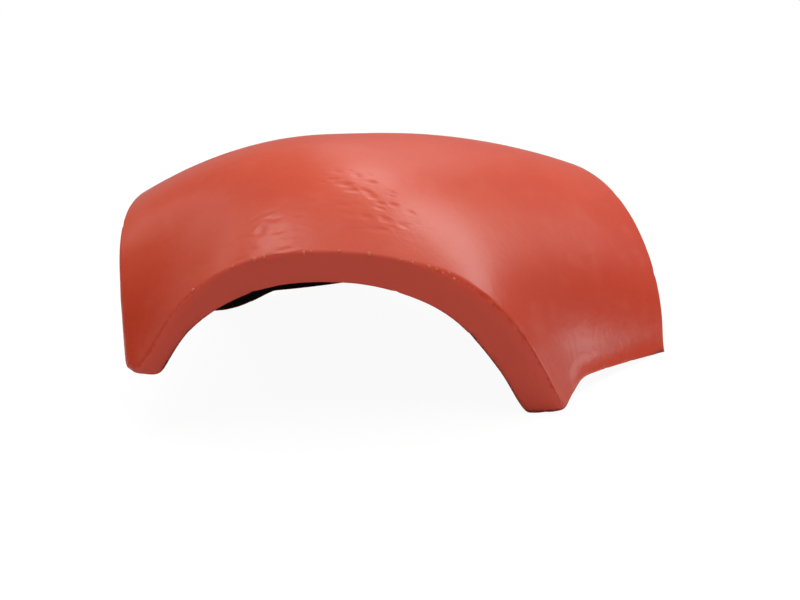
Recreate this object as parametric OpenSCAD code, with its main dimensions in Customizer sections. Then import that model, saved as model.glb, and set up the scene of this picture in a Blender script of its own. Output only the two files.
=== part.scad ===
// Three-way ridge tile: one cast concrete shell. A ridge arm and two hip arms meet in a low dome.
// Frame: +Z up, +X along the ridge arm, mirror plane Y = 0. Millimetres.
// The shell is drawn with its ridge line level, then leant by the small angle at which it lies on
// a flat floor: on its two outer feet and the lower corners of the ridge arm.

/* [Hip arms] */
// Angle between the two hip arms in plan, degrees
hip_spread = 96; // [92:1:100]
// Half-width of a hip arm on its outer side, mm
hip_half_w = 138; // [132:1:144]
// Half-width of a hip arm on the side of the other hip arm, mm
hip_inner_w = 144; // [138:1:148]
// Distance from the apex to a hip arm's end face, mm
hip_reach = 130; // [124:1:132]
// Height of a hip arm's crown at its end, above the feet, mm
hip_crown = 121; // [114:1:126]
// Outward lean of a hip arm's end face, degrees
hip_lean = 12; // [6:0.5:15]

/* [Ridge arm] */
// Half-width of the ridge arm, mm
ridge_half_w = 160; // [150:1:165]
// Distance from the apex to the ridge arm's end face, mm
ridge_reach = 182.5; // [170:0.5:188]
// Height of the ridge arm's crown at its end, above the feet, mm
ridge_crown = 134; // [126:1:138]
// Outward lean of the ridge arm's end face, degrees
ridge_lean = 24; // [12:1:26]

/* [Shell] */
// Height of the dome above the feet, mm
dome_h = 161; // [154:0.5:164]
// Thickness of the side walls, mm
side_wall = 25; // [20:0.5:27]
// Thickness of the crown, mm
crown_wall = 25; // [18:0.5:26]
// Squareness of the arch profile, 2 is an ellipse
arch_power = 2.55; // [2.4:0.05:2.8]
// Squareness of the arch profile inside, lower thickens the haunches
inner_arch_power = 2.4; // [2.25:0.05:2.6]
// Depth the arch profile is sunk below the feet before it is trimmed, mm
sink = 31; // [26:1:36]
// How tightly the arms blend in plan at their base
valley_power = 7; // [6:0.5:9]
// How tightly the arms blend in plan at the crown, lower fills the valleys
dome_power = 2.5; // [2:0.5:7]
// How tightly the two hip arms blend in plan, inside
inner_corner_power = 14; // [8:1:18]
// How sharply the two hip end faces meet at the corner post
post_power = 24; // [16:1:40]

/* [Lower edge] */
// Height of the trimmed lower edge between the feet, mm
edge_h = 19.5; // [14:0.5:26]
// Height of the corner post between the hip arms, mm
corner_h = 26.5; // [18:0.5:30]
// Half-angle an outer foot takes up, degrees
foot_span = 24; // [18:0.5:28]
// Half-angle over which the lower edge changes height at the corner post, degrees
corner_span = 50; // [30:1:55]
// Angle from a hip arm's axis to its outer foot, degrees
foot_angle = 40.5; // [38:0.5:44]
// How far the wall flares out at an outer foot, mm
flare = 15.5; // [0:0.5:18]
// How far the wall flares out at the corner post, mm
corner_flare = 5; // [0:0.5:8]
// Share of its plan radius by which the corner post is drawn in, outside
corner_tuck = 0.17; // [0.1:0.01:0.2]
// Share of its plan radius by which the corner post is drawn in, inside
inner_tuck = 0.065; // [0.04:0.005:0.12]
// How far the lower edge stands out as a lip, mm
lip = 3; // [0:0.5:5]
// Height of the lip, mm
lip_h = 13; // [8:1:16]
// How far the tip of the corner post hangs below the rest of its foot, mm
post_drop = 3; // [0:0.5:8]
// Radius of the worn edges, mm
edge_r = 3; // [1.5:0.5:5]
// Radius of the worn edges at the feet, mm
foot_r = 9; // [5:0.5:11]

/* [Hidden] */
clay = [0.64, 0.19, 0.13];
apex_h = dome_h + sink;
blend_rise = 2;
flare_h = 60;
lean_h = 60;
side_fall = 0.0017;
foot_power = 1.4;
corner_foot_power = 1.8;
flare_span = 13.5;
corner_flare_span = 13.5;
corner_tuck_span = 46;
inner_tuck_span = 5;
post_span = 4.5;
worn_span = 18;
n_arch = 30;
n_gap = 14;
n_side = 16;
n_out = 17;
n_in = 13;
n_edge = 4;

// one row an arm: direction, half-widths on its two sides, reach, crown above the sunk base,
// slope of the end face
ARMS = [
    [180 - hip_spread / 2, hip_half_w, hip_inner_w, hip_reach, hip_crown + sink, tan(hip_lean)],
    [180 + hip_spread / 2, hip_inner_w, hip_half_w, hip_reach, hip_crown + sink, tan(hip_lean)],
    [360, ridge_half_w, ridge_half_w, ridge_reach, ridge_crown + sink, tan(ridge_lean)]
];
// directions of the corner post and of the two outer feet
POST = 180;
FEET = [POST - hip_spread / 2 - foot_angle, POST + hip_spread / 2 + foot_angle];

function wrap(d) = d - 360 * floor((d + 180) / 360);
function near(d, w, e) = exp(-pow(abs(d) / w, e));

// plan radius of the sunk base in direction phi, with the side walls moved in by t, as it is
// blended at meridian angle m
function plan_r(phi, t, m) = let(
    v = dome_power + (valley_power - dome_power) * pow(sin(m), blend_rise),
    c = t > 0 ? inner_corner_power : v,
    n = v + (c - v) * near(wrap(phi - 180), 35, 4),
    tuck = t > 0 ? inner_tuck * near(wrap(phi - 180), inner_tuck_span, 2)
        : corner_tuck * near(wrap(phi - 180), corner_tuck_span, 2),
    q = [for (a = ARMS) let(d = wrap(phi - a[0]), s = cos(d) > 0 ? abs(sin(d)) : 1)
        pow(((d < 0 ? a[1] : a[2]) - t) / max(s, 0.0001), n)]
) pow(q[0] + q[1] + q[2], 1 / n) * (1 - tuck);

// fall of the crown line per square millimetre in direction phi
function fall(phi) = let(
    w = [for (a = ARMS) pow(max(cos(wrap(phi - a[0])), 0), 4)],
    k = [for (a = ARMS) (apex_h - a[4]) / pow(a[3], 2)],
    rest = max(0, 1 - w[0] - w[1] - w[2])
) w[0] * k[0] + w[1] * k[1] + w[2] * k[2] + rest * side_fall;

// how far a foot's flare pushes the wall out in direction phi
function push(phi) = corner_flare * near(wrap(phi - POST), corner_flare_span, 2)
    + flare * near(wrap(phi - FEET[0]), flare_span, 2)
    + flare * near(wrap(phi - FEET[1]), flare_span, 2);

// height of the trimmed lower edge in direction phi
function tooth(d) = pow(max(0, 1 - pow(d / foot_span, 2)), foot_power);
function edge_z(phi) = edge_h * (1 - tooth(wrap(phi - FEET[0])) - tooth(wrap(phi - FEET[1])))
    + (corner_h - edge_h) * near(wrap(phi - POST), corner_span, corner_foot_power)
    - post_drop * near(wrap(phi - POST), post_span, 2);
// radius of the worn edge in direction phi
function worn(phi) = edge_r + (foot_r - edge_r)
    * (near(wrap(phi - POST), worn_span, 4) + near(wrap(phi - FEET[0]), worn_span, 4)
        + near(wrap(phi - FEET[1]), worn_span, 4));

// a point of the skin: direction phi, meridian angle m, side walls in by t, crown down by c
function skin(phi, m, t, c) = let(
    e = 2 / (t > 0 ? inner_arch_power : arch_power),
    r0 = plan_r(phi, t, m) * pow(sin(m), e),
    z = (apex_h - c - fall(phi) * r0 * r0) * pow(max(cos(m), 0), e) - sink,
    g = min(2, max(0, 1 - z / flare_h)),
    l = t > 0 ? 0 : min(1.2, max(0, 1 - (z - edge_z(phi)) / lip_h)),
    r = r0 + push(phi) * g * g + lip * l * l
) [r * cos(phi), r * sin(phi), z];

// 1 on the end faces, which blend where two of them meet
function faced(p) = let(
    q = [for (a = ARMS)
        max(0, (p[0] * cos(a[0]) + p[1] * sin(a[0]) - a[5] * (p[2] - lean_h)) / a[3])]
) pow(q[0], post_power) + pow(q[1], post_power) + pow(q[2], post_power);
function inside(p, phi) = p[2] > edge_z(phi) && faced(p) < 1;

// meridian angle at which the skin meets an end face or the lower edge
function trim(phi, t, c, lo = 0, hi = 90, k = 26) = k == 0 ? lo : let(
    m = (lo + hi) / 2
) inside(skin(phi, m, t, c), phi) ? trim(phi, t, c, m, hi, k - 1) : trim(phi, t, c, lo, m, k - 1);

// half-angle of an arm's end face on one side, kept clear of the next arm
function corner(a, side, t, gap) = min(atan((a[side] - t) / a[3]), gap / 2 - 1.5);
function arch_dirs(a, c) = [for (i = [0:n_arch]) let(
    s = -90 + 180 * i / n_arch,
    u = sign(s) * pow(abs(sin(s)), 2 / arch_power) * 0.9999,
    k = s < 0 ? c[0] : c[1]
) a[0] + atan(u * tan(k))];
function wall_dirs(d0, d1, n) = [for (i = [1:n - 1]) d0 + (d1 - d0) * i / n];
side_gap = 180 - hip_spread / 2;
function dirs(t) = let(
    near_hip = corner(ARMS[0], 2, t, hip_spread),
    far_hip = corner(ARMS[0], 1, t, side_gap),
    rid = corner(ARMS[2], 1, t, side_gap)
) concat(
    arch_dirs(ARMS[0], [far_hip, near_hip]),
    wall_dirs(ARMS[0][0] + near_hip, ARMS[1][0] - near_hip, n_gap),
    arch_dirs(ARMS[1], [near_hip, far_hip]),
    wall_dirs(ARMS[1][0] + far_hip, ARMS[2][0] - rid, n_side),
    arch_dirs(ARMS[2], [rid, rid]),
    wall_dirs(ARMS[2][0] + rid, ARMS[0][0] + 360 - far_hip, n_side)
);

function mix(a, b, k) = a + (b - a) * k;
function bend(a, b, c, k) = mix(mix(a, b, k), mix(b, c, k), k);
function toward(a, b, d) = a + (b - a) * min(0.42, d / max(norm(b - a), 0.001));
// meridian angle a distance d up the skin from its trimmed edge at angle m
function back(phi, m, t, c, d) = let(
    run = norm(skin(phi, m, t, c) - skin(phi, m * 0.98, t, c)) / 0.02
) m * (1 - min(0.4, d / run));

// one meridian strip: outer skin down, worn edge, end face, worn edge, inner skin up
function strip(po, pi) = let(
    mo = trim(po, 0, 0),
    mi = trim(pi, side_wall, crown_wall),
    eo = skin(po, mo, 0, 0),
    ei = skin(pi, mi, side_wall, crown_wall),
    ao = back(po, mo, 0, 0, worn(po)),
    ai = back(pi, mi, side_wall, crown_wall, worn(pi) * 0.7)
) concat(
    [for (i = [1:n_out]) skin(po, ao * i / n_out, 0, 0)],
    [for (k = [1:n_edge])
        bend(skin(po, ao, 0, 0), eo, toward(eo, ei, worn(po)), k / n_edge)],
    [for (k = [0:n_edge - 1]) bend(toward(ei, eo, worn(pi) * 0.7), ei,
        skin(pi, ai, side_wall, crown_wall), k / n_edge)],
    [for (i = [n_in:-1:1]) skin(pi, ai * i / n_in, side_wall, crown_wall)]
);

function lean(p, b) = [p[0] * cos(b) + p[2] * sin(b), p[1], p[2] * cos(b) - p[0] * sin(b)];
// lowest point ahead of or behind x, once leant by b
function low(pts, b, x, side) = min([for (p = pts) if ((p[0] - x) * side > 0) lean(p, b)[2]]);
// lean at which the ridge arm's lower corners and the outer feet stand on one floor
function settle(pts, x, lo, hi, k = 14) = k == 0 ? lo : let(
    b = (lo + hi) / 2
) low(pts, b, x, 1) > low(pts, b, x, -1) ? settle(pts, x, b, hi, k - 1)
    : settle(pts, x, lo, b, k - 1);

module ridge_cap() {
    od = dirs(0);
    id = dirs(side_wall);
    nc = len(od);
    grid = [for (j = [0:nc - 1]) strip(od[j], id[j])];
    nr = len(grid[0]);
    top = nc * nr;
    drawn = concat(
        [for (s = grid) for (p = s) p],
        [[0, 0, dome_h], [0, 0, dome_h - crown_wall]]
    );
    b = settle(drawn, 60, -2, 14);
    pts = [for (p = drawn) lean(p, b)];
    faces = concat(
        [for (j = [0:nc - 1]) for (i = [0:nr - 2]) let(k = (j + 1) % nc)
            [j * nr + i, k * nr + i + 1, j * nr + i + 1]],
        [for (j = [0:nc - 1]) for (i = [0:nr - 2]) let(k = (j + 1) % nc)
            [j * nr + i, k * nr + i, k * nr + i + 1]],
        [for (j = [0:nc - 1]) let(k = (j + 1) % nc) [top, k * nr, j * nr]],
        [for (j = [0:nc - 1]) let(k = (j + 1) % nc)
            [top + 1, j * nr + nr - 1, k * nr + nr - 1]]
    );
    xs = [for (p = pts) p[0]];
    zs = [for (p = pts) p[2]];
    echo(lean_deg = b, shift_x = -(min(xs) + max(xs)) / 2, shift_z = -min(zs), columns = nc, rows = nr);
    color(clay) translate([-(min(xs) + max(xs)) / 2, 0, -min(zs)])
        polyhedron(points = pts, faces = faces, convexity = 6);
}

ridge_cap();
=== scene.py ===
# %% [markdown]
# # A three-way ridge tile in cast concrete
# Where a level ridge ends and two hips run down from it, one thick cap closes the joint. It is
# cast in one piece: three short arches that meet in a low dome, with feet between the arches.
# This lesson loads its construction model, lofts a fine shell in the same place, wears and
# roughens it as use and the mould leave it, and paints it the satin brick red of coated concrete.

# %% Load the construction model
import math

import bpy
import numpy as np
from mathutils import Matrix, Vector


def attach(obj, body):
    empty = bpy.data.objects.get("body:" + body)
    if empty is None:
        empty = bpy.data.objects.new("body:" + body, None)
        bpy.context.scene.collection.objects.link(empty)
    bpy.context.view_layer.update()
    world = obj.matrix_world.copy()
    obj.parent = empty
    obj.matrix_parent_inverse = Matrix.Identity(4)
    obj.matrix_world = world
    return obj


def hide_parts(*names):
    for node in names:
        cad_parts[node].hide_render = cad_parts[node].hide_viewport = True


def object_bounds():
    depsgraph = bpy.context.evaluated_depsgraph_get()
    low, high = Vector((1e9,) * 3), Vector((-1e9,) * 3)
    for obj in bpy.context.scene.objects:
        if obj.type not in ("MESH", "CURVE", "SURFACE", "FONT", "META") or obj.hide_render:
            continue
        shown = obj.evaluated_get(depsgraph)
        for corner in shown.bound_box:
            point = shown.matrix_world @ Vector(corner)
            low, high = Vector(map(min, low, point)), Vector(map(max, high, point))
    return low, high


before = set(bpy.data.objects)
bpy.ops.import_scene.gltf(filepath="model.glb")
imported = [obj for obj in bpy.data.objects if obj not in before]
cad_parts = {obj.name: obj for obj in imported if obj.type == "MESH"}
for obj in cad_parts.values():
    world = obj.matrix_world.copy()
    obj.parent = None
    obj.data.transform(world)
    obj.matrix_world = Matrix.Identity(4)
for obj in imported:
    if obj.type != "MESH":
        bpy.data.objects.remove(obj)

MM = 0.001  # a millimetre in metres
cad_low, cad_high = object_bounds()

# %% [markdown]
# ## Camera
# The tile is seen from a little above, with one hip arch towards us and the ridge arm going
# away to the right. A long lens from about two metres keeps the arches from looking stretched,
# so the camera comes first: everything later is judged through it.

# %% Camera
CAMERA_AT = Vector((-1.1494, -1.3893, 0.6126))
CAMERA_AIM = Vector((0.0090, -0.0313, 0.0454))
CAMERA_ROLL = math.radians(-3.319)
SENSOR_MM = 36.0
LENS_MM = 122.805


def look_at(place, aim, roll):
    """Rotation for a thing at place whose -Z looks at aim, rolled about its own axis."""
    turn = (aim - place).to_track_quat("-Z", "Y").to_matrix()
    return (turn @ Matrix.Rotation(roll, 3, "Z")).to_4x4()


lens = bpy.data.cameras.new("camera")
lens.sensor_width, lens.lens = SENSOR_MM, LENS_MM
camera = bpy.data.objects.new("camera", lens)
camera.matrix_world = Matrix.Translation(CAMERA_AT) @ look_at(CAMERA_AT, CAMERA_AIM, CAMERA_ROLL)
bpy.context.scene.collection.objects.link(camera)
bpy.context.scene.camera = camera
bpy.context.scene.view_settings.view_transform = "Standard"
print("camera", tuple(round(v, 3) for v in CAMERA_AT), "lens mm", round(lens.lens, 1))

# %% [markdown]
# ## A shorthand for node graphs
# Shader maths reads best as sums. A `Wire` holds one output socket, and its operators add Math
# nodes, so `1 - mask * 0.5` builds the graph it says. `Graph.add` makes any other node from its
# type, its settings and what goes into its sockets. Both work in shader and geometry trees, and
# so do the small helpers for vectors and colours after them.

# %% Methods that add one Math node
def one_input(how):
    """A method that puts a wire through one Math node."""
    return lambda wire: wire.math(how, wire)


def two_inputs(how):
    """A method that joins a wire and another value, in that order."""
    return lambda wire, other: wire.math(how, wire, other)


def reflected(how):
    """The same with the other value first, for an operator that has its wire on the right."""
    return lambda wire, other: wire.math(how, other, wire)


print("method makers ready")

# %% Wires and graphs
class Wire:
    """One output socket; arithmetic on it adds Math nodes to its tree."""

    __add__, __radd__ = two_inputs("ADD"), reflected("ADD")
    __sub__, __rsub__ = two_inputs("SUBTRACT"), reflected("SUBTRACT")
    __mul__, __rmul__ = two_inputs("MULTIPLY"), reflected("MULTIPLY")
    __truediv__, __rtruediv__ = two_inputs("DIVIDE"), reflected("DIVIDE")
    __pow__, modulo, atan2 = two_inputs("POWER"), two_inputs("MODULO"), two_inputs("ARCTAN2")
    above, larger = two_inputs("GREATER_THAN"), two_inputs("MAXIMUM")
    smaller, absolute = two_inputs("MINIMUM"), one_input("ABSOLUTE")
    sine, cosine, tangent = one_input("SINE"), one_input("COSINE"), one_input("TANGENT")
    exp, floor = one_input("EXPONENT"), one_input("FLOOR")
    degrees, radians = one_input("DEGREES"), one_input("RADIANS")

    def __init__(self, graph, socket):
        self.graph, self.socket = graph, socket

    def math(self, how, a, b=0.0, clamp=False):
        settings = {"operation": how, "use_clamp": clamp}
        return self.graph.add("ShaderNodeMath", settings, {0: a, 1: b})

    def clamped(self):
        """The value held between 0 and 1."""
        return self.math("ADD", self, 0.0, clamp=True)

    def band(self, low, high):
        """0 below low, 1 above high, smooth between."""
        settings = {"interpolation_type": "SMOOTHSTEP"}
        sockets = {"Value": self, "From Min": low, "From Max": high}
        return self.graph.add("ShaderNodeMapRange", settings, sockets)


class Graph:
    """A node tree and the one method that fills it."""

    def __init__(self, tree):
        self.tree = tree

    def add(self, kind, settings=None, sockets=None, out=0):
        node = self.tree.nodes.new(kind)
        for name, value in (settings or {}).items():
            setattr(node, name, value)
        for name, value in (sockets or {}).items():
            self.feed(node.inputs[name], value)
        return Wire(self, node.outputs[out]) if len(node.outputs) else node

    def feed(self, socket, value):
        if isinstance(value, Wire):
            self.tree.links.new(value.socket, socket)
        else:
            socket.default_value = value


print("graph shorthand ready")

# %% Vectors and colours on wires
def vector_math(graph, how, a, b, out=0):
    return graph.add("ShaderNodeVectorMath", {"operation": how}, {0: a, 1: b}, out)


def scaled(graph, vector, factor):
    return graph.add("ShaderNodeVectorMath", {"operation": "SCALE"}, {0: vector, "Scale": factor})


def combined(graph, **axes):
    """A vector from its X, Y and Z; an axis left out is 0."""
    return graph.add("ShaderNodeCombineXYZ", sockets=axes)


def part_of(graph, vector, axis):
    """The X, Y or Z of a vector."""
    return graph.add("ShaderNodeSeparateXYZ", sockets={0: vector}, out=axis)


def mix_colour(graph, amount, a, b):
    """Colour a turning into b by amount."""
    sockets = {"Factor": amount, "A": a, "B": b}
    return graph.add("ShaderNodeMix", {"data_type": "RGBA"}, sockets, out="Result")


def shaken(value, amount, noise):
    """A value shaken by a noise that runs from 0 to 1."""
    return value + (noise - 0.5) * amount


print("vector and colour helpers ready")

# %% [markdown]
# ## Floor and light
# A plain white sweep in even light, as in a small product studio. To the camera most of the
# floor glows, so that it looks white without lighting the tile, and the rest of it takes the
# tile's soft shadow. The air gives a weak fill, and is itself white behind the floor.

# %% Floor
WHITE = (1.0, 1.0, 1.0, 1.0)
FLOOR_PAINT = (0.66, 0.66, 0.66, 1.0)
FLOOR_GLOW, GLOW_STRENGTH = 0.84, 1.12
FLOOR_HALF = 6.0


def white_sweep():
    """Floor material: mostly a white glow to the camera, plain matt paint to all other rays."""
    material = bpy.data.materials.new("studio_white")
    material.use_nodes = True
    graph = Graph(material.node_tree)
    material.node_tree.nodes.clear()
    seen = graph.add("ShaderNodeLightPath", out="Is Camera Ray")
    matt = graph.add("ShaderNodeBsdfDiffuse", sockets={"Color": FLOOR_PAINT})
    glow = graph.add("ShaderNodeEmission", sockets={"Color": WHITE, "Strength": GLOW_STRENGTH})
    both = graph.add("ShaderNodeMixShader", sockets={0: seen * FLOOR_GLOW, 1: matt, 2: glow})
    graph.add("ShaderNodeOutputMaterial", sockets={"Surface": both})
    return material


floor_corners = [(x * FLOOR_HALF, y * FLOOR_HALF, 0)
                 for x, y in ((-1, -1), (1, -1), (1, 1), (-1, 1))]
floor_mesh = bpy.data.meshes.new("studio_floor")
floor_mesh.from_pydata(floor_corners, [], [(0, 1, 2, 3)])
floor_mesh.materials.append(white_sweep())
floor = bpy.data.objects.new("studio_floor", floor_mesh)
bpy.context.scene.collection.objects.link(floor)
print("floor", 2 * FLOOR_HALF, "m square")

# %% Air
AIR_FILL, AIR_SEEN = 0.33, 1.0
world = bpy.data.worlds.new("studio_air")
bpy.context.scene.world = world
world.use_nodes = True
world.node_tree.nodes.clear()
air = Graph(world.node_tree)
direct = air.add("ShaderNodeLightPath", out="Is Camera Ray")
soft_fill = air.add("ShaderNodeBackground", sockets={"Color": WHITE, "Strength": AIR_FILL})
white_wall = air.add("ShaderNodeBackground", sockets={"Color": WHITE, "Strength": AIR_SEEN})
air.add("ShaderNodeOutputWorld", sockets={"Surface": air.add(
    "ShaderNodeMixShader", sockets={0: direct, 1: soft_fill, 2: white_wall})})
print("air ready, fill", AIR_FILL)

# %% [markdown]
# ## Lamps
# A satin coating shows each lamp as a soft pale patch where its mirror image falls. A wide lamp
# overhead gives the even light. The rest are small and dim, and each is there for one patch: a
# long narrow one for the sheen across the front shoulder, two panels past the ridge arm for the
# top of the dome, a strip and a panel past the far hip arm for the left shoulder, and a very
# small one near the floor for the glint beside the near foot.

# %% Lamps
def soft_lamp(name, place, aim, size, watts, roll=0.0):
    """A rectangular lamp at place turned to aim, in metres, rolled by degrees about its beam."""
    data = bpy.data.lights.new(name, "AREA")
    data.shape, data.size, data.size_y, data.energy = "RECTANGLE", size[0], size[1], watts
    lamp = bpy.data.objects.new(name, data)
    lamp.matrix_world = Matrix.Translation(place) @ look_at(
        Vector(place), Vector(aim), math.radians(roll))
    bpy.context.scene.collection.objects.link(lamp)


soft_lamp("lamp_over", (-0.15, -0.1, 1.75), (0, 0, 0), (2.0, 2.0), 15)
soft_lamp("lamp_sheen", (0.785, -0.085, 0.77), (-0.035, -0.126, 0.116), (0.18, 0.76), 3.9, -40)
soft_lamp("lamp_top", (0.62, 0.42, 0.88), (-0.04, -0.06, 0.14), (0.24, 0.17), 0.85)
soft_lamp("lamp_back", (0.71, 0.55, 0.60), (-0.02, -0.10, 0.13), (0.5, 0.35), 0.35)
soft_lamp("lamp_left", (-0.055, 0.38, 1.10), (-0.12, -0.08, 0.127), (0.06, 0.46), 1.25, 20)
soft_lamp("lamp_side", (-0.23, 0.83, 0.85), (-0.13, 0.0, 0.13), (0.5, 0.36), 0.55)
soft_lamp("lamp_low", (1.09, -0.53, 0.07), (0.06, -0.16, 0.03), (0.14, 0.08), 0.65)
print("lamps", len(bpy.data.lights))

# %% [markdown]
# ## The shell as a rule
# The tile is a vault on a plan of three short arms. In any direction from the apex the outer
# skin runs down a squarish arch; the arms join in a smooth union, and the skin stops at an end
# face or at the lower edge. The same rule, moved in by the wall, gives the inside. A shape that
# is a rule belongs in Geometry Nodes, where each size stays an input that can be turned later.
# The last three sizes lean the tile as it lies on a floor, and bring it to the frame's origin.

# %% Sizes, in millimetres and degrees
SIZES = {
    "Hip Spread": 96.0, "Hip Outer Width": 138.0, "Hip Inner Width": 144.0,
    "Hip Reach": 130.0, "Hip Crown": 121.0, "Hip Lean": 12.0,
    "Ridge Width": 160.0, "Ridge Reach": 182.5, "Ridge Crown": 134.0, "Ridge Lean": 24.0,
    "Dome Height": 161.0, "Side Wall": 25.0, "Crown Wall": 25.0, "Arch Power": 2.55,
    "Inner Arch Power": 2.4,
    "Sink": 31.0, "Side Fall": 0.0017, "Valley Power": 7.0, "Dome Power": 2.5,
    "Inner Corner Power": 14.0, "Post Power": 24.0, "Corner Tuck": 0.17, "Corner Tuck Span": 46.0,
    "Inner Tuck": 0.065, "Inner Tuck Span": 5.0,
    "Edge Height": 19.5, "Corner Height": 26.5, "Corner Span": 50.0,
    "Foot Span": 24.0, "Foot Angle": 40.5, "Flare": 15.5, "Flare Span": 13.5,
    "Corner Flare": 5.0, "Corner Flare Span": 13.5, "Flare Height": 60.0,
    "Post Drop": 3.0, "Post Span": 4.5, "Lip": 3.0, "Lip Height": 13.0,
    "Edge Radius": 2.2, "Foot Radius": 9.0, "Worn Span": 16.0,
    "Lean": 6.2832, "Shift X": -26.0096, "Shift Z": -1.76186,
}
OUT_ROWS, EDGE_ROWS, FACE_ROWS, IN_ROWS = 116, 8, 9, 20
ROWS = OUT_ROWS + 2 * EDGE_ROWS + FACE_ROWS + IN_ROWS + 1
print(len(SIZES), "sizes,", ROWS, "rows down and up each meridian")

# %% [markdown]
# ## Where the meridians run
# The shell is a sheet of meridians that all start at the apex. Across an arch they are bunched
# where it runs steeply down to its feet, so that the faces there stay small and the worn edges
# smooth. The inner skin has directions of its own, because its arches are narrower.

# %% Directions of the meridians
ARCH_STEPS, GAP_STEPS, SIDE_STEPS = 118, 50, 76
GAP_CLEAR = 1.5
BUNCHED_SHARE, EVEN_SHARE = 0.7, 0.3
WITHIN_FACE = 0.9999


def corner_angle(width, reach, wall, gap):
    """Half-angle of an end face as seen from the apex, kept clear of the next arm's."""
    return min(math.degrees(math.atan2(width - wall, reach)), gap / 2 - GAP_CLEAR)


def arch_directions(axis, left, right):
    """Directions across an end face, closer together where the arch runs steeply."""
    turn = np.radians(np.linspace(-90, 90, ARCH_STEPS + 1))
    bunched = np.sign(turn) * np.abs(np.sin(turn)) ** (2 / SIZES["Arch Power"])
    across = (BUNCHED_SHARE * bunched + EVEN_SHARE * turn / (math.pi / 2)) * WITHIN_FACE
    reach = np.where(turn < 0, math.tan(math.radians(left)), math.tan(math.radians(right)))
    return axis + np.degrees(np.arctan(across * reach))


def ring_directions(wall):
    """Every meridian's direction, once round the tile."""
    spread = SIZES["Hip Spread"]
    side_gap = 180 - spread / 2
    reach = SIZES["Hip Reach"]
    near_hip = corner_angle(SIZES["Hip Inner Width"], reach, wall, spread)
    far_hip = corner_angle(SIZES["Hip Outer Width"], reach, wall, side_gap)
    ridge = corner_angle(SIZES["Ridge Width"], SIZES["Ridge Reach"], wall, side_gap)
    one, two = 180 - spread / 2, 180 + spread / 2
    return np.concatenate([
        arch_directions(one, far_hip, near_hip),
        np.linspace(one + near_hip, two - near_hip, GAP_STEPS + 1)[1:-1],
        arch_directions(two, near_hip, far_hip),
        np.linspace(two + far_hip, 360 - ridge, SIDE_STEPS + 1)[1:-1],
        arch_directions(360, ridge, ridge),
        np.linspace(360 + ridge, one + 360 - far_hip, SIDE_STEPS + 1)[1:-1],
    ])


outer_ring, inner_ring = ring_directions(0.0), ring_directions(SIZES["Side Wall"])
COLUMNS = len(outer_ring)
ring_mesh = bpy.data.meshes.new("meridians")
ring_mesh.from_pydata([(0, 0, 0)] * COLUMNS, [], [])
for label, degrees in (("outer direction", outer_ring), ("inner direction", inner_ring)):
    ring_mesh.attributes.new(label, "FLOAT", "POINT").data.foreach_set(
        "value", np.radians(degrees).astype(np.float32))
print(COLUMNS, "meridians,", 2 * COLUMNS * (ROWS - 1), "triangles")

# %% [markdown]
# ## The rule in nodes
# The functions below are the tile's formulas, written on wires. Each call adds its nodes to the
# tree, so they are the same formulas as in the construction model, worked out on every point.

# %% Small formulas
LEAN_HEIGHT = 60.0
CORNER_POWER, FOOT_POWER = 1.8, 1.4
ROUND_HUMP, FLAT_HUMP = 2.0, 4.0


def near(offset, width, power):
    """A smooth hump: 1 at offset 0, falling away past width."""
    return (-1.0 * (offset.absolute() / width) ** power).exp()


def largest(*wires):
    top = wires[0]
    for wire in wires[1:]:
        top = top.larger(wire)
    return top


class Heading:
    """A direction in plan, kept as its cosine and sine."""

    def __init__(self, cos, sin):
        self.cos, self.sin = cos, sin

    def ahead(self, other):
        """Cosine of the angle between two headings."""
        return other.cos * self.cos + other.sin * self.sin

    def aside(self, other):
        """Sine of the angle from this heading to the other."""
        return other.sin * self.cos - other.cos * self.sin

    def away(self, other):
        """Angle from this heading to the other in degrees, from -180 to 180."""
        return self.aside(other).atan2(self.ahead(other)).degrees()


print("small formulas ready")

# %% Vault formulas
LEAST_SINE = 0.0005


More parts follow.
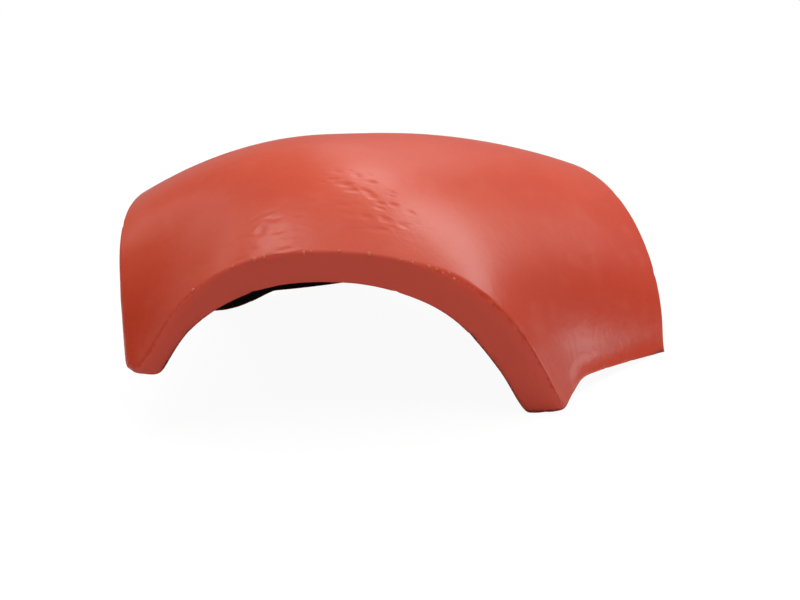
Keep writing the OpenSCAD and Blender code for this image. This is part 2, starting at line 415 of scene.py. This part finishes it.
class Vault:
    """The tile's formulas over the named inputs of its tree."""

    def __init__(self, graph, size):
        self.graph, self.size = graph, size
        half = size["Hip Spread"].radians() * 0.5
        foot = half + size["Foot Angle"].radians()
        outer, inner = size["Hip Outer Width"], size["Hip Inner Width"]
        hip = (size["Hip Reach"], size["Hip Crown"], size["Hip Lean"].radians().tangent())
        ridge = (size["Ridge Reach"], size["Ridge Crown"], size["Ridge Lean"].radians().tangent())
        back = -1.0 * half.cosine()
        self.arms = [
            (Heading(back, half.sine()), outer, inner, *hip),
            (Heading(back, -1.0 * half.sine()), inner, outer, *hip),
            (Heading(1.0, 0.0), size["Ridge Width"], size["Ridge Width"], *ridge),
        ]
        self.post = Heading(-1.0, 0.0)
        self.feet = [Heading(-1.0 * foot.cosine(), foot.sine()),
                     Heading(-1.0 * foot.cosine(), -1.0 * foot.sine())]

    def spans(self, heading, wall):
        """How far out each arm alone reaches in a direction, on the sunk base."""
        for axis, left, right, *_ in self.arms:
            front = axis.ahead(heading).above(0.0)
            behind = axis.aside(heading) * 0.5 + 0.5
            turned = behind + front * (axis.aside(heading).above(0.0) - behind)
            width = left + (right - left) * turned - wall
            sideways = 1.0 + front * (axis.aside(heading).absolute() - 1.0)
            yield width / sideways.larger(LEAST_SINE)

    def crown_fall(self, heading):
        """How fast the crown line drops with the distance squared."""
        size, total, rest = self.size, 0.0, 1.0
        for axis, _, _, reach, crown, _ in self.arms:
            weight = axis.ahead(heading).larger(0.0) ** 4.0
            total = total + weight * ((size["Dome Height"] - crown) / (reach * reach))
            rest = rest - weight
        return total + rest.larger(0.0) * size["Side Fall"]

    def foot_push(self, heading):
        """How far the feet flare out."""
        size = self.size
        corner = near(self.post.away(heading), size["Corner Flare Span"], ROUND_HUMP)
        push = size["Corner Flare"] * corner
        for foot in self.feet:
            push = push + size["Flare"] * near(foot.away(heading), size["Flare Span"], ROUND_HUMP)
        return push

    def lower_edge(self, heading):
        """Height at which the wall ends."""
        size, corner = self.size, self.post.away(heading)
        rise = size["Corner Height"] - size["Edge Height"]
        height = size["Edge Height"] + rise * near(corner, size["Corner Span"], CORNER_POWER)
        height = height - size["Post Drop"] * near(corner, size["Post Span"], ROUND_HUMP)
        for foot in self.feet:
            off = foot.away(heading) / size["Foot Span"]
            height = height - size["Edge Height"] * (1.0 - off * off).larger(0.0) ** FOOT_POWER
        return height

    def worn_radius(self, heading, at_foot):
        """Radius of the worn edge, larger at the feet."""
        size = self.size
        humps = sum(near(foot.away(heading), size["Worn Span"], FLAT_HUMP)
                    for foot in (self.post, *self.feet))
        return size["Edge Radius"] + (at_foot - size["Edge Radius"]) * humps


print("vault formulas ready")

# %% One skin of the wall
INNER_FOOT_SHARE = 0.7
INNER_CORNER_SPAN = 35.0
FLARE_LIMIT, LIP_LIMIT, FACE_LIMIT = 2.0, 1.2, 4.0


class Skin:
    """Outer or inner side of the wall: where it is, and where it is trimmed."""

    def __init__(self, vault, direction, inside):
        self.vault, self.inside = vault, inside
        size = vault.size
        heading = Heading(direction.cosine(), direction.sine())
        self.heading = heading
        self.apex = size["Dome Height"] + size["Sink"]
        if inside:
            self.apex = self.apex - size["Crown Wall"]
        self.spans = list(vault.spans(heading, size["Side Wall"] if inside else 0.0))
        self.reach = largest(*self.spans)
        self.corner = vault.post.away(heading)
        tuck = "Inner Tuck" if inside else "Corner Tuck"
        self.tuck = 1.0 - size[tuck] * near(self.corner, size[tuck + " Span"], ROUND_HUMP)
        self.fall = vault.crown_fall(heading)
        self.push = vault.foot_push(heading)
        self.edge_height = vault.lower_edge(heading)
        foot_share = INNER_FOOT_SHARE if inside else 1.0
        self.worn = vault.worn_radius(heading, size["Foot Radius"] * foot_share)

    def radius(self, sine):
        """Plan radius of the arms' smooth union, which loosens towards the crown."""
        size = self.vault.size
        power = size["Dome Power"] + (size["Valley Power"] - size["Dome Power"]) * sine * sine
        if self.inside:
            firm = near(self.corner, INNER_CORNER_SPAN, FLAT_HUMP)
            power = power + (size["Inner Corner Power"] - power) * firm
        union = sum((span / self.reach) ** power for span in self.spans) ** (1.0 / power)
        return union * self.reach * self.tuck

    def place(self, turn):
        """Coordinates of the skin at an angle down its arch."""
        size = self.vault.size
        root = 2.0 / size["Inner Arch Power" if self.inside else "Arch Power"]
        sine = turn.sine().larger(0.0)
        run = self.radius(sine) * sine ** root
        height = (self.apex - self.fall * run * run) * turn.cosine().larger(0.0) ** root
        height = height - size["Sink"]
        flare = (1.0 - height / size["Flare Height"]).larger(0.0).smaller(FLARE_LIMIT)
        run = run + self.push * flare * flare
        if not self.inside:
            lip = (1.0 - (height - self.edge_height) / size["Lip Height"]).larger(0.0)
            lip = lip.smaller(LIP_LIMIT)
            run = run + size["Lip"] * lip * lip
        return run * self.heading.cos, run * self.heading.sin, height

    def kept(self, turn):
        """1 where the skin is above the lower edge and behind every end face."""
        x, y, z = self.place(turn)
        power, faced = self.vault.size["Post Power"], 0.0
        for axis, _, _, reach, _, slope in self.vault.arms:
            ahead = x * axis.cos + y * axis.sin - slope * (z - LEAN_HEIGHT)
            faced = faced + (ahead / reach).larger(0.0).smaller(FACE_LIMIT) ** power
        return z.above(self.edge_height) * (1.0 - faced.above(1.0))

    def point(self, turn):
        x, y, z = self.place(turn)
        return combined(self.vault.graph, X=x, Y=y, Z=z)


print("skin ready")

# %% Points and attributes
def between(graph, a, b, amount):
    """Point part of the way from a to b."""
    return vector_math(graph, "ADD", a, scaled(graph, vector_math(graph, "SUBTRACT", b, a), amount))


def bend(graph, a, corner, b, amount):
    """Point on the rounded way from a to b past a corner."""
    return between(graph, between(graph, a, corner, amount),
                   between(graph, corner, b, amount), amount)


def attribute(graph, name):
    return graph.add("GeometryNodeInputNamedAttribute", {"data_type": "FLOAT"}, {"Name": name})


def stored(graph, geometry, name, value):
    """The geometry with a value kept on each point under a name."""
    settings = {"data_type": "FLOAT", "domain": "POINT"}
    sockets = {"Geometry": geometry, "Name": name, "Value": value}
    return graph.add("GeometryNodeStoreNamedAttribute", settings, sockets)


print("point and attribute helpers ready")

# %% The tree's inputs
def new_tree(name, numbers):
    """An empty modifier tree, with geometry in and out and its numbers as named inputs."""
    tree = bpy.data.node_groups.new(name, "GeometryNodeTree")
    tree.is_modifier = True
    tree.interface.new_socket("Geometry", in_out="INPUT", socket_type="NodeSocketGeometry")
    for label, value in numbers.items():
        kind = "NodeSocketInt" if isinstance(value, int) else "NodeSocketFloat"
        tree.interface.new_socket(label, in_out="INPUT", socket_type=kind).default_value = value
    tree.interface.new_socket("Material", in_out="INPUT", socket_type="NodeSocketMaterial")
    tree.interface.new_socket("Geometry", in_out="OUTPUT", socket_type="NodeSocketGeometry")
    graph = Graph(tree)
    group = tree.nodes.new("NodeGroupInput")
    return graph, {socket.name: Wire(graph, socket) for socket in group.outputs if socket.name}


vault_graph, vault_in = new_tree("three_way_vault", SIZES)
vault = Vault(vault_graph, vault_in)
print("tree", vault_graph.tree.name, "with", len(SIZES), "sizes")

# %% Meridians and rows
g = vault_graph
sheet = g.add("GeometryNodeMeshGrid", sockets={
    "Size X": 1.0, "Size Y": 1.0, "Vertices X": COLUMNS + 1, "Vertices Y": ROWS})
index = g.add("GeometryNodeInputIndex")
column = (index / float(ROWS)).floor()
row = index - column * float(ROWS)
shell = stored(g, sheet, "row", row)
for label in ("outer direction", "inner direction"):
    ring_value = g.add("GeometryNodeSampleIndex", {"data_type": "FLOAT"}, {
        "Geometry": vault_in["Geometry"], "Value": attribute(g, label),
        "Index": column.modulo(float(COLUMNS))})
    shell = stored(g, shell, label, ring_value)
for label in ("outer turn", "inner turn"):
    shell = stored(g, shell, label, 0.0)
outer = Skin(vault, attribute(g, "outer direction"), False)
inner = Skin(vault, attribute(g, "inner direction"), True)
print("skins ready,", len(g.tree.nodes), "nodes")

# %% [markdown]
# ## Where the skin stops
# The end of each meridian has no formula, but it can be felt out: step down the arch, keep the
# step while the point is still inside, halve it, and go again. A Repeat zone does that on every
# meridian at once, 26 times, which is finer than a thousandth of a millimetre.

# %% Trimming
TRIM_STEPS = 26
FIRST_STEP = math.pi / 4
zone_in = g.tree.nodes.new("GeometryNodeRepeatInput")
zone_out = g.tree.nodes.new("GeometryNodeRepeatOutput")
zone_in.pair_with_output(zone_out)
zone_out.repeat_items.new("FLOAT", "Step")
zone_in.inputs["Iterations"].default_value = TRIM_STEPS
zone_in.inputs["Step"].default_value = FIRST_STEP
g.feed(zone_in.inputs["Geometry"], shell)
step = Wire(g, zone_in.outputs["Step"])
trimmed = Wire(g, zone_in.outputs["Geometry"])
for label, skin in (("outer turn", outer), ("inner turn", inner)):
    turn = attribute(g, label)
    trimmed = stored(g, trimmed, label, turn + step * skin.kept(turn + step))
g.feed(zone_out.inputs["Geometry"], trimmed)
g.feed(zone_out.inputs["Step"], step * 0.5)
shell = Wire(g, zone_out.outputs["Geometry"])
print("trimming ready,", len(g.tree.nodes), "nodes")

# %% [markdown]
# ## Over the worn edges
# A row's number says how far along its meridian it is: down the outer skin, over the worn outer
# edge, across the cut face, under the worn inner edge and back up the inner skin. A worn edge
# leaves the skin a little before the corner, joins the face a little after it, and is bent
# between the two. Adding up the legs gives one formula for every row, with no gap between them.

# %% Loft over the worn edges
FEEL = 0.02  # share of the angle over which a skin's run is felt
MOST_OF_TURN, MOST_OF_FACE = 0.4, 0.42  # as much of each as a worn edge may take


def share(row, first, count):
    """0 before a run of rows, 1 after it, even steps within."""
    return ((row - float(first)) / float(count)).clamped()


def edge_start(skin, turn):
    """Angle at which the worn edge leaves the skin."""
    run = vector_math(g, "DISTANCE", skin.point(turn), skin.point(turn * (1.0 - FEEL)), out="Value")
    return turn * (1.0 - (skin.worn * FEEL / run).smaller(MOST_OF_TURN))


def edge_end(corner, other, skin):
    """Point of the end face at which the worn edge ends."""
    gap = vector_math(g, "DISTANCE", corner, other, out="Value")
    return between(g, corner, other, (skin.worn / gap).smaller(MOST_OF_FACE))


row = attribute(g, "row")
face_first = OUT_ROWS + EDGE_ROWS
down = share(row, 0, OUT_ROWS)
over = share(row, OUT_ROWS, EDGE_ROWS)
across = share(row, face_first, FACE_ROWS)
under = share(row, face_first + FACE_ROWS, EDGE_ROWS)
back = share(row, face_first + FACE_ROWS + EDGE_ROWS, IN_ROWS)
outer_turn, inner_turn = attribute(g, "outer turn"), attribute(g, "inner turn")
outer_start, inner_start = edge_start(outer, outer_turn), edge_start(inner, inner_turn)
outer_corner, inner_corner = outer.point(outer_turn), inner.point(inner_turn)
face_top = edge_end(outer_corner, inner_corner, outer)
face_foot = edge_end(inner_corner, outer_corner, inner)
outer_rim, inner_rim = outer.point(outer_start), inner.point(inner_start)
legs = [
    (outer_rim, bend(g, outer_rim, outer_corner, face_top, over)),
    (face_top, between(g, face_top, face_foot, across)),
    (face_foot, bend(g, face_foot, inner_corner, inner_rim, under)),
    (inner_rim, inner.point(inner_start * (1.0 - back))),
]
place = outer.point(outer_start * down)
for start, here in legs:
    place = vector_math(g, "ADD", place, vector_math(g, "SUBTRACT", here, start))
shell = g.add("GeometryNodeSetPosition", sockets={"Geometry": shell, "Position": place})
print("loft ready,", len(g.tree.nodes), "nodes")

# %% Leant, welded and in metres
WELD = 1e-7  # metres
shell = stored(g, shell, "inside", under)
shell = stored(g, shell, "rim", over - under)
shell = stored(g, shell, "worn edge", (over * (1.0 - over) + under * (1.0 - under)) * 4.0)
shell = g.add("GeometryNodeTransform", sockets={
    "Geometry": shell,
    "Rotation": combined(g, Y=vault_in["Lean"].radians()),
    "Translation": combined(g, X=vault_in["Shift X"] * MM, Z=vault_in["Shift Z"] * MM),
    "Scale": (MM, MM, MM)})
shell = g.add("GeometryNodeMergeByDistance", sockets={"Geometry": shell, "Distance": WELD})
shell = g.add("GeometryNodeFlipFaces", sockets={"Mesh": shell})
shell = g.add("GeometryNodeSetShadeSmooth", sockets={0: shell, "Shade Smooth": True})
shell = g.add("GeometryNodeRealizeInstances", sockets={"Geometry": shell})
shell = g.add("GeometryNodeSetMaterial", sockets={
    "Geometry": shell, "Material": vault_in["Material"]})
g.add("NodeGroupOutput", sockets={"Geometry": shell})
print("vault tree done,", len(g.tree.nodes), "nodes")

# %% [markdown]
# ## A plain mesh
# What a modifier makes lives only in the evaluated object. A copy of it becomes a mesh of its
# own and the modifier goes, so that what is drawn is that plain mesh. Its
# volume is a quick test: it comes out positive only when the faces point outwards.

# %% Baking a tree to a plain mesh
def baked(name, start_mesh, graph, numbers, material=None):
    """Runs a tree once on a mesh and returns the plain result."""
    source = bpy.data.objects.new(name + "_source", start_mesh)
    bpy.context.scene.collection.objects.link(source)
    modifier = source.modifiers.new(name, "NODES")
    modifier.node_group = graph.tree
    identifiers = {item.name: item.identifier for item in graph.tree.interface.items_tree
                   if item.in_out == "INPUT"}
    for label, value in numbers.items():
        modifier[identifiers[label]] = value
    if material:
        modifier[identifiers["Material"]] = material
    evaluated = source.evaluated_get(bpy.context.evaluated_depsgraph_get())
    mesh = bpy.data.meshes.new_from_object(evaluated)
    source.modifiers.clear()
    bpy.data.objects.remove(source)
    mesh.name = name
    return mesh


def volume_cm3(mesh):
    """Volume inside a closed mesh."""
    mesh.calc_loop_triangles()
    points = np.array([v.co for v in mesh.vertices])
    corners = points[np.array([t.vertices for t in mesh.loop_triangles])]
    wedges = np.einsum("ij,ij->i", corners[:, 0], np.cross(corners[:, 1], corners[:, 2]))
    return float(wedges.sum()) / 6 / (10 * MM) ** 3


plain_shell = baked("vault", ring_mesh, vault_graph, SIZES)
print(len(plain_shell.vertices), "points,", round(volume_cm3(plain_shell)), "cm3")

# %% [markdown]
# ## What use and the mould leave
# Concrete never leaves a mould quite true, and a foot never stays sharp. The feet are worn
# round, the skin swells by some tenths of a millimetre and is faintly lumpy, shallow pits show
# where air sat against the mould, the worn edges lose small chips, and crumbs of mortar stay on
# the arris under the paint. A second tree does all of it. Swells, lumps, pits and chips only
# take material away. The eased feet and the crumbs may stand out, so the last step holds every
# point inside the box of the construction model.

# %% Relief sizes, in millimetres
RELIEF = {
    "Seed": 7.0, "Foot Wear": 13, "Foot Drop": 2.6, "Trim": 0.05,
    "Swell Size": 60.0, "Swell Depth": 0.4, "Lump Size": 13.0, "Lump Depth": 0.16,
    "Pit Spacing": 8.0, "Pit Depth": 0.55, "Chip Size": 9.0, "Chip Depth": 0.9,
    "Crumb Spacing": 4.0, "Crumb Density": 90000.0, "Crumb Size": 1.5, "Crumb Seed": 4,
    "Crumb Floor": 92.0,
}
relief, rough = new_tree("mould_relief", RELIEF)
print("relief tree with", len(RELIEF), "sizes")

# %% Patches and places
NEAR_SHARE = 0.45


def patches(graph, spot, size, seed):
    """Soft noise from 0 to 1 whose patches are about a size across."""
    return graph.add("ShaderNodeTexNoise", {"noise_dimensions": "4D"}, {
        "Vector": scaled(graph, spot, 1.0 / size), "W": seed, "Scale": 1.0, "Detail": 2.0})


def around(graph, spot, places):
    """1 near any of the places, falling to 0 at its reach; all in millimetres."""
    amount = 0.0
    for *centre, reach in places:
        away = vector_math(graph, "DISTANCE", spot, centre, out="Value")
        amount = (1.0 - (away / reach).band(NEAR_SHARE, 1.0)).larger(amount)
    return amount


print("patches and places ready")

# %% [markdown]
# ## Feet worn round
# Wear rounds a foot most at its tip and fades up the wall, which no single edge radius does.
# Blur Attribute does: it averages each point's place with its neighbours' a few times over, as
# much as its weight says, so it eases the mesh near the feet and leaves the rest alone. Easing
# shortens a foot a little, and a small drop makes up for it.

# %% Feet worn round
FEET = ((8, -178, 0, 52), (8, 178, 0, 52), (-184, 0, 40, 52))  # x, y, z, reach
g = relief
spot = scaled(g, g.add("GeometryNodeInputPosition"), 1.0 / MM)
near_foot = around(g, spot, FEET)
eased = g.add("GeometryNodeBlurAttribute", {"data_type": "FLOAT_VECTOR"}, {
    "Value": g.add("GeometryNodeInputPosition"), "Iterations": rough["Foot Wear"],
    "Weight": near_foot})
footed = g.add("GeometryNodeSetPosition", sockets={
    "Geometry": rough["Geometry"], "Position": eased,
    "Offset": combined(g, Z=near_foot * rough["Foot Drop"] * -MM)})
print("feet worn round:", len(g.tree.nodes), "nodes")

# %% Swell, lumps, pits and chips
ROUGH_GROUND = (  # x, y, z, reach
    (-60, -82, 142, 48), (-128, -66, 128, 36), (-45, 86, 142, 50), (95, 62, 118, 44),
)
RIPPLE_SIZE, GROUND_SIZE = 4.0, 22.0
RAGGED = 0.6
CHIP_BAND, PIT_BAND, GROUND_BAND = (0.56, 0.74), (0.14, 0.44), (0.30, 0.44)
swell = patches(g, spot, rough["Swell Size"], rough["Seed"])
lump = patches(g, spot, rough["Lump Size"], rough["Seed"] + 3.0)
chip = patches(g, spot, rough["Chip Size"], rough["Seed"] + 9.0).band(*CHIP_BAND)
cell = g.add("ShaderNodeTexVoronoi", {"feature": "F1"}, {
    "Vector": scaled(g, spot, 1.0 / rough["Pit Spacing"]), "Scale": 1.0})
ripple = patches(g, spot, RIPPLE_SIZE, rough["Seed"] + 6.0)
pitted = patches(g, spot, GROUND_SIZE, rough["Seed"] + 12.0).band(*GROUND_BAND)
pit = 1.0 - shaken(cell, RAGGED, ripple).band(*PIT_BAND)
pit = pit * around(g, spot, ROUGH_GROUND) * pitted
worn = attribute(g, "worn edge")
depth = (rough["Trim"] + swell * rough["Swell Depth"] + lump * rough["Lump Depth"]
         + pit * rough["Pit Depth"] + chip * worn * rough["Chip Depth"])
inward = scaled(g, g.add("GeometryNodeInputNormal"), depth * -MM)
roughened = g.add("GeometryNodeSetPosition", sockets={"Geometry": footed, "Offset": inward})
print("swell, lumps, pits and chips:", len(g.tree.nodes), "nodes")

# %% [markdown]
# ## Crumbs on the arris
# Crumbs are real grains, so they are small spheres and not bump: points scattered on the bend of
# the near arch's outer edge, no closer than their spacing, each with a flattened sphere of its
# own size. They carry an attribute of their own, by which the coating lies paler on them.

# %% Crumbs on the outer arris
CRUMB_FROM, CRUMB_TO = 0.08, 0.55  # shares of the way over the edge
CRUMB_END = 60.0
CRUMB_LEAST, CRUMB_MOST = 0.35, 1.0
CRUMB_LONG, CRUMB_FLAT = 1.3, 0.7
x, y, z = (part_of(g, spot, axis) for axis in "XYZ")
edge = attribute(g, "rim")
arris = edge.above(CRUMB_FROM) * (1.0 - edge.above(CRUMB_TO)) * z.above(rough["Crumb Floor"])
arris = arris * (1.0 - x.above(CRUMB_END)) * (1.0 - y.above(0.0))
arris = arris * (1.0 - attribute(g, "inside").above(0.0))
scattered = g.add("GeometryNodeDistributePointsOnFaces", {"distribute_method": "POISSON"}, {
    "Mesh": roughened, "Distance Min": rough["Crumb Spacing"] * MM,
    "Density Max": rough["Crumb Density"], "Density Factor": arris, "Seed": rough["Crumb Seed"]})
crumb = g.add("GeometryNodeMeshIcoSphere", sockets={
    "Radius": rough["Crumb Size"] * MM, "Subdivisions": 2})
crumb = stored(g, crumb, "crumb", 1.0)
grown = g.add("FunctionNodeRandomValue", {"data_type": "FLOAT"}, {
    "Min": CRUMB_LEAST, "Max": CRUMB_MOST, "Seed": rough["Crumb Seed"]}, out="Value")
crumbs = g.add("GeometryNodeInstanceOnPoints", sockets={
    "Points": scattered, "Instance": crumb,
    "Rotation": Wire(g, scattered.socket.node.outputs["Rotation"]),
    "Scale": combined(g, X=grown, Y=grown * CRUMB_LONG, Z=grown * CRUMB_FLAT)})
crumbs = g.add("GeometryNodeRealizeInstances", sockets={"Geometry": crumbs})
joined = g.tree.nodes.new("GeometryNodeJoinGeometry")
for part in (roughened, crumbs):
    g.feed(joined.inputs[0], part)
whole = Wire(g, joined.outputs[0])
print("crumbs:", len(g.tree.nodes), "nodes")

# %% Held inside the construction model's box, and baked
held = vector_math(g, "MAXIMUM", g.add("GeometryNodeInputPosition"), tuple(cad_low))
held = vector_math(g, "MINIMUM", held, tuple(cad_high))
whole = g.add("GeometryNodeSetPosition", sockets={"Geometry": whole, "Position": held})
whole = g.add("GeometryNodeSetShadeSmooth", sockets={0: whole, "Shade Smooth": True})
whole = g.add("GeometryNodeRealizeInstances", sockets={"Geometry": whole})
whole = g.add("GeometryNodeSetMaterial", sockets={
    "Geometry": whole, "Material": rough["Material"]})
g.add("NodeGroupOutput", sockets={"Geometry": whole})
paint = bpy.data.materials.new("coated_concrete")
shell_mesh = baked("ridge_cap_shell", plain_shell, relief, RELIEF, paint)
print(len(shell_mesh.vertices), "points,", len(shell_mesh.polygons), "faces,",
      round(volume_cm3(shell_mesh)), "cm3")

# %% [markdown]
# ## The coating
# The concrete is dipped or sprayed in an acrylic brick red, which dries satin and shows the
# grain under it as orange peel, a faint ripple every few millimetres. It lies duller on the cut
# end faces, with soft clouds and pale flecks, and it ran a little at the lower edge of the hip
# arms. The end faces take a paler, greyer red: a duller coat, and painted light where the lamps
# reach them little. Low on the walls the red is deepened as painted shade, where less light
# falls. The soles of the feet are dirty, and a painted contact shadow darkens them too. The
# inside is left uncoated, and its near-black is painted shade. Attributes on the shell say
# where its end faces, its inside and its crumbs are.

# %% Coating colours
SKIN_RED = (0.68, 0.074, 0.026)
PALE_RED = (0.71, 0.13, 0.07)
# The deep red is also painted shade low on the walls, besides the clouds.
DEEP_AND_SHADE_RED = (0.62, 0.045, 0.012)
# The end faces' paler red is partly a duller coat, partly painted light.
RIM_RED_AND_PAINTED_LIGHT = (0.77, 0.088, 0.051)
CRUMB_RED = (0.80, 0.17, 0.10)
# Dark soles: grime, and a painted contact shadow.
FOOT_DIRT_AND_SHADE = (0.05, 0.015, 0.02)
# The inside's near-black is painted shade on uncoated concrete.
BARE_AND_SHADE_DARK = (0.012, 0.006, 0.005)


def rgba(colour):
    return (*colour, 1.0)


print("seven colours, from", SKIN_RED, "for the skin to", BARE_AND_SHADE_DARK, "for the inside")

# %% Coating noises, with patches in millimetres
RUNS_PER_METRE = (260.0, 260.0, 22.0)
paint.use_nodes = True
paint.node_tree.nodes.clear()
m = Graph(paint.node_tree)
here = m.add("ShaderNodeTexCoord", out="Object")


def coat_noise(size_mm, detail=3.0):
    """Noise from 0 to 1 whose patches are about a size across."""
    return m.add("ShaderNodeTexNoise", {"noise_dimensions": "3D"}, {
        "Vector": here, "Scale": 1.0 / MM / size_mm, "Detail": detail})


def painted(name):
    """What the shell's attribute of this name says at the point being shaded."""
    return m.add("ShaderNodeAttribute", {"attribute_name": name}, out="Fac")


cloud = coat_noise(85.0)
blotch = coat_noise(17.0)
grain = coat_noise(1.6, 2.0)
speck = coat_noise(3.2, 1.0)
peel = coat_noise(4.6, 1.5)
drip = m.add("ShaderNodeTexNoise", {"noise_dimensions": "3D"}, {
    "Vector": m.add("ShaderNodeMapping", {"vector_type": "POINT"}, {
        "Vector": here, "Scale": RUNS_PER_METRE}),
    "Scale": 1.0, "Detail": 1.0})
inside, rim, crumb_paint = painted("inside"), painted("rim"), painted("crumb")
print("coating noises ready")

# %% Coating colour
LOW_SHADE_TO_SKIN, DIRT_AND_SHADE_HEIGHTS = (55 * MM, 125 * MM), (0.5 * MM, 4 * MM)  # heights
CLOUDS, BLOTCHES, GRAINS, SPECKS = (0.4, 0.6), (0.5, 0.75), (0.45, 0.8), (0.3, 0.5)
BARE_SHADE_FROM, CUT_FROM = (0.35, 0.75), (0.22, 0.40)
CLOUD_SHARE, BLOTCH_SHARE, GRAIN_SHARE = 0.4, 0.2, 0.12
CRUMB_SHARE, DIRT_AND_SHADE_SHARE = 0.8, 0.85
SPECKLE = 0.5
along, up = part_of(m, here, "X"), part_of(m, here, "Z")
# The inside is uncoated, and painted near-black as painted shade.
bare_and_shaded = shaken(inside, SPECKLE, grain).band(*BARE_SHADE_FROM)
# The end faces take a paler red: a duller coat, and painted light.
cut_face = shaken(rim, SPECKLE, speck).band(*CUT_FROM)
# Grime, and a painted contact shadow, darken the soles of the feet.
dirt_and_shade = (1.0 - up.band(*DIRT_AND_SHADE_HEIGHTS)) * speck.band(*SPECKS)
# Painted shade: the red deepens low on the walls, where less light falls.
colour = mix_colour(m, up.band(*LOW_SHADE_TO_SKIN), rgba(DEEP_AND_SHADE_RED), rgba(SKIN_RED))
for amount, tint in (
        ((1.0 - cloud.band(*CLOUDS)) * CLOUD_SHARE, DEEP_AND_SHADE_RED),
        (blotch.band(*BLOTCHES) * BLOTCH_SHARE, PALE_RED),
        (grain.band(*GRAINS) * GRAIN_SHARE, PALE_RED),
        (cut_face, RIM_RED_AND_PAINTED_LIGHT), (crumb_paint * CRUMB_SHARE, CRUMB_RED),
        (dirt_and_shade * DIRT_AND_SHADE_SHARE, FOOT_DIRT_AND_SHADE), (bare_and_shaded, BARE_AND_SHADE_DARK)):
    colour = mix_colour(m, amount, colour, rgba(tint))
print("coating colour ready,", len(m.tree.nodes), "nodes")

# %% Coating surface
SATIN, FACE_DULLER, BARE_DULLER = 0.315, 0.16, 0.4
CLOUD_DULLER, BLOTCH_DULLER = 0.05, 0.04
PEEL_MM, GRAIN_MM, RUN_MM = 0.11, 0.025, 0.18
RUN_UP, RUN_ALONG = (30 * MM, 60 * MM), (45 * MM, 80 * MM)
GLOSS = 0.3
dull = shaken(SATIN + rim * FACE_DULLER, CLOUD_DULLER, cloud)
dull = shaken(dull, BLOTCH_DULLER, blotch) + bare_and_shaded * BARE_DULLER
run_ground = (1.0 - up.band(*RUN_UP)) * (1.0 - along.band(*RUN_ALONG))
relief_mm = ((peel - 0.5) * PEEL_MM + (grain - 0.5) * GRAIN_MM
             + (drip - 0.5) * run_ground * RUN_MM)
bump = m.add("ShaderNodeBump", sockets={"Strength": 1.0, "Distance": MM, "Height": relief_mm})
surface = m.add("ShaderNodeBsdfPrincipled", sockets={
    "Base Color": colour, "Roughness": dull, "Specular IOR Level": GLOSS, "Normal": bump})
m.add("ShaderNodeOutputMaterial", sockets={"Surface": surface})
print("coating done,", len(m.tree.nodes), "nodes")

# %% [markdown]
# ## The finished piece
# The tile is one piece on one body. The coated shell takes the place of the construction model's
# node, which stays as it was made.

# %% The finished piece
piece = bpy.data.objects.new("ridge_cap_shell", shell_mesh)
bpy.context.scene.collection.objects.link(piece)
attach(piece, "root")
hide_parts("ridge_cap")
print("piece", piece.name, len(shell_mesh.polygons), "faces")
